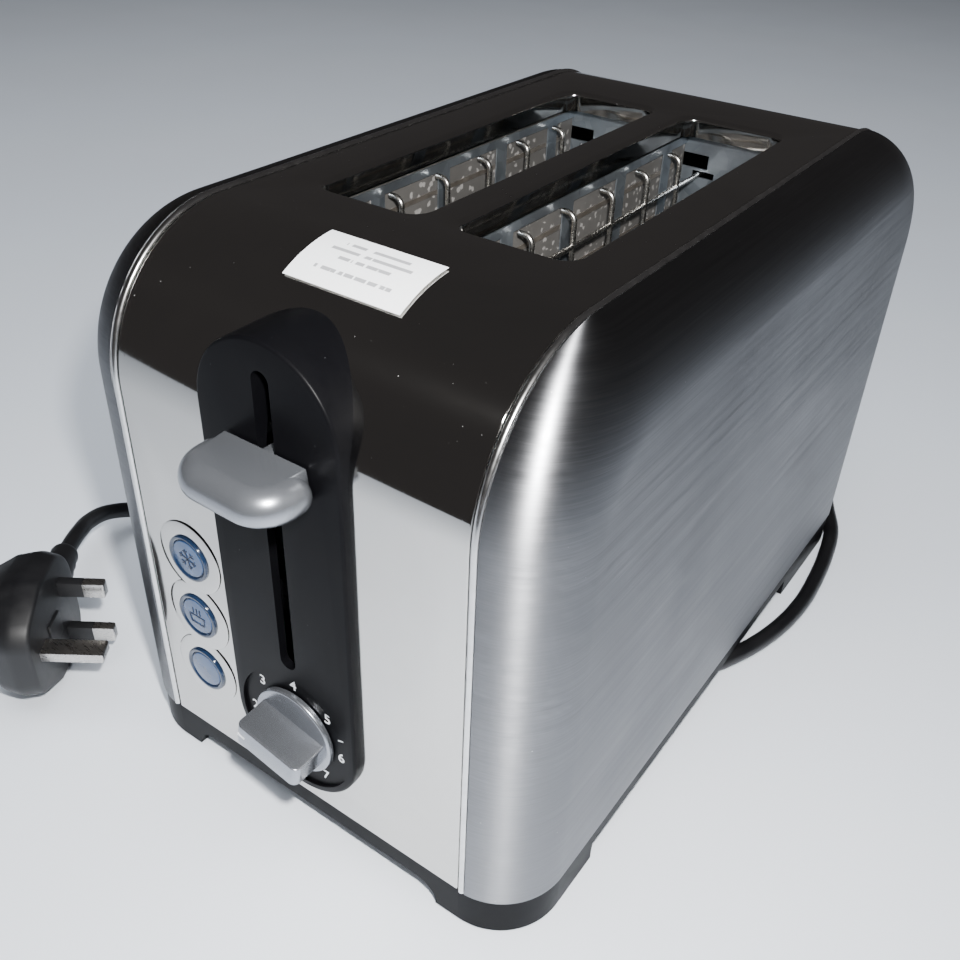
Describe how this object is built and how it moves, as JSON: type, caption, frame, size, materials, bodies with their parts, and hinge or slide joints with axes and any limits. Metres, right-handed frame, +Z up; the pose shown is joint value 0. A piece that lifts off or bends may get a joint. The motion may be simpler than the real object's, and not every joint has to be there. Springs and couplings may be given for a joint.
{
  "type": "pop up toaster",
  "caption": "Pop up toaster with two bread slots, a steel body, a lever carriage, a browning dial, push buttons, a crumb tray and a cord with a plug.",
  "frame": {"origin": "on the table, under the middle of the footprint without the cord", "axes": "+Z up, +Y from the control strip to the rear panel, +X to the right seen from the front"},
  "size_m": [0.276, 0.3883, 0.1921],
  "materials": {
    "polished_steel": "mirror polished stainless sheet",
    "brushed_steel": "brushed stainless sheet, lines along the length",
    "charcoal_plastic": "satin moulded plastic",
    "rubber": "matt rubber",
    "black_plastic": "satin black moulded plastic",
    "zinc_steel": "zinc plated steel",
    "dark_steel": "plain stainless sheet",
    "paper": "matt white paper",
    "galvanised_steel": "galvanised sheet with soft spangle",
    "mica": "grey mica board",
    "heating_ribbon": "flat resistance ribbon",
    "wire": "bright drawn wire",
    "silver_paint": "silver paint on plastic",
    "iron": "laminated iron",
    "copper": "enamelled copper winding",
    "circuit_board": "green solder mask",
    "part_plastic": "moulded electrical parts",
    "blue_plastic": "translucent blue plastic",
    "cord_rubber": "smooth black cord jacket",
    "plug_plastic": "moulded black plastic",
    "plated_brass": "plated brass"
  },
  "bodies": {
    "housing": {"wrap_band": "polished_steel", "left_side_shell": "brushed_steel", "right_side_shell": "brushed_steel", "base_tray": "charcoal_plastic", "rubber_feet": "rubber", "control_strip": "black_plastic", "strip_screws": "zinc_steel", "slot_rims": "dark_steel", "top_label": "paper", "front_end_plate": "galvanised_steel", "rear_end_plate": "galvanised_steel", "left_reflector": "galvanised_steel", "right_reflector": "galvanised_steel", "left_outer_heater": "mica", "left_inner_heater": "mica", "right_inner_heater": "mica", "right_outer_heater": "mica", "heating_ribbons": "heating_ribbon", "board_clips": "galvanised_steel", "base_screws": "zinc_steel", "guide_rod": "wire", "rod_bracket": "galvanised_steel", "return_spring": "zinc_steel", "magnet_core": "iron", "magnet_coil": "copper", "control_board": "circuit_board", "board_parts": "part_plastic", "button_switches": "part_plastic", "dial_control": "part_plastic", "terminal_block": "part_plastic", "cord_sleeve": "cord_rubber", "mains_cord": "cord_rubber", "plug_body": "plug_plastic", "plug_boot": "plug_plastic", "plug_pins": "plated_brass", "pin_sleeves": "plug_plastic", "fuse_carrier": "plug_plastic"},
    "carriage": {"carriage": "galvanised_steel", "lever_knob": "silver_paint", "left_bread_rack": "galvanised_steel", "right_bread_rack": "galvanised_steel", "latch_keeper": "zinc_steel"},
    "left_outer_guard": {"left_outer_guard": "wire"},
    "left_inner_guard": {"left_inner_guard": "wire"},
    "right_inner_guard": {"right_inner_guard": "wire"},
    "right_outer_guard": {"right_outer_guard": "wire"},
    "dial": {"dial_knob": "silver_paint", "dial_spindle": "zinc_steel"},
    "defrost_button": {"defrost_button": "blue_plastic"},
    "reheat_button": {"reheat_button": "blue_plastic"},
    "cancel_button": {"cancel_button": "blue_plastic"},
    "crumb_tray": {"crumb_tray": "galvanised_steel", "tray_grip": "black_plastic"}
  },
  "joints": [
    {"name": "carriage_slide", "type": "slide", "parent": "housing", "child": "carriage", "axis": [0, 0, 1], "range_m": [-0.065, 0.02], "stiffness_N_per_m": 150, "springref_m": 0.0072, "deforming": ["return_spring"]},
    {"name": "left_outer_guard_slide", "type": "slide", "parent": "housing", "child": "left_outer_guard", "axis": [1, 0, 0], "range_m": [-0.00154, 0.005]},
    {"name": "left_inner_guard_slide", "type": "slide", "parent": "housing", "child": "left_inner_guard", "axis": [-1, 0, 0], "range_m": [-0.00154, 0.005]},
    {"name": "right_inner_guard_slide", "type": "slide", "parent": "housing", "child": "right_inner_guard", "axis": [1, 0, 0], "range_m": [-0.00154, 0.005]},
    {"name": "right_outer_guard_slide", "type": "slide", "parent": "housing", "child": "right_outer_guard", "axis": [-1, 0, 0], "range_m": [-0.00154, 0.005]},
    {"name": "dial_turn", "type": "hinge", "parent": "housing", "child": "dial", "pos_m": [0, -0.12775, 0.0472], "axis": [0, 1, 0], "range_deg": [-63, 221]},
    {"name": "defrost_button_press", "type": "slide", "parent": "housing", "child": "defrost_button", "axis": [0, 1, 0], "range_m": [0, 0.001], "stiffness_N_per_m": 1000, "springref_m": -0.0005},
    {"name": "reheat_button_press", "type": "slide", "parent": "housing", "child": "reheat_button", "axis": [0, 1, 0], "range_m": [0, 0.001], "stiffness_N_per_m": 1000, "springref_m": -0.0005},
    {"name": "cancel_button_press", "type": "slide", "parent": "housing", "child": "cancel_button", "axis": [0, 1, 0], "range_m": [0, 0.001], "stiffness_N_per_m": 1000, "springref_m": -0.0005},
    {"name": "crumb_tray_slide", "type": "slide", "parent": "housing", "child": "crumb_tray", "axis": [0, 1, 0], "range_m": [0, 0.2]}
  ],
  "couplings": [
    {"joint": "left_outer_guard_slide", "follows": "carriage_slide", "ratio": -0.076923},
    {"joint": "left_inner_guard_slide", "follows": "carriage_slide", "ratio": -0.076923},
    {"joint": "right_inner_guard_slide", "follows": "carriage_slide", "ratio": -0.076923},
    {"joint": "right_outer_guard_slide", "follows": "carriage_slide", "ratio": -0.076923}
  ]
}
